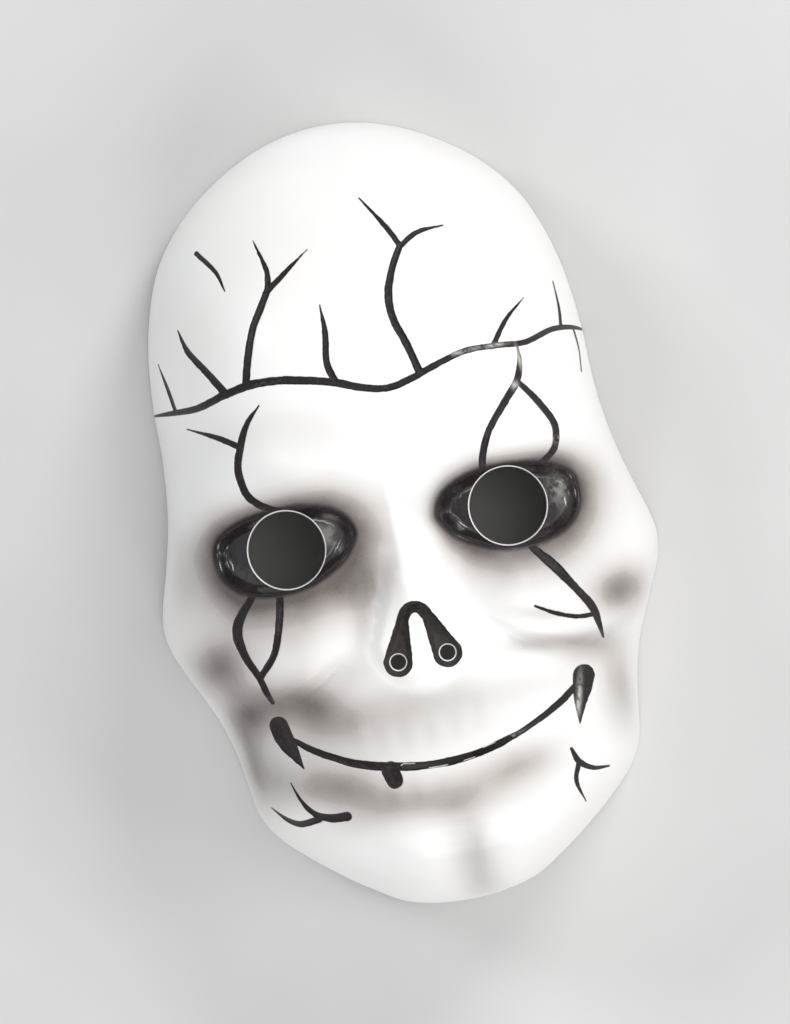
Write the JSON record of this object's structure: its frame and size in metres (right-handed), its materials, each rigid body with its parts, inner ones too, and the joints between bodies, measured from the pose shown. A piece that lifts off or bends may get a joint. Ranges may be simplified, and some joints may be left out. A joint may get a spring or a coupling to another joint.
{
  "type": "skull mask",
  "caption": "Full-face skull mask: one thin moulded shell with eye holes, nostril holes, a mouth slit and two strap holes, open at the back.",
  "frame": {"origin": "middle of the mask's length and width, in the plane of its flat rim, on which it lies face up", "axes": "+Z out of the face, +Y to the crown, +X to the right of someone who looks at the face"},
  "size_m": [0.146, 0.2284, 0.0757],
  "materials": {
    "white_plastic": "satin moulded plastic, with airbrushed grey shading and glossy black paint in the sockets, nose, mouth and cracks"
  },
  "bodies": {
    "root": {"mask_shell": "white_plastic"}
  },
  "joints": []
}
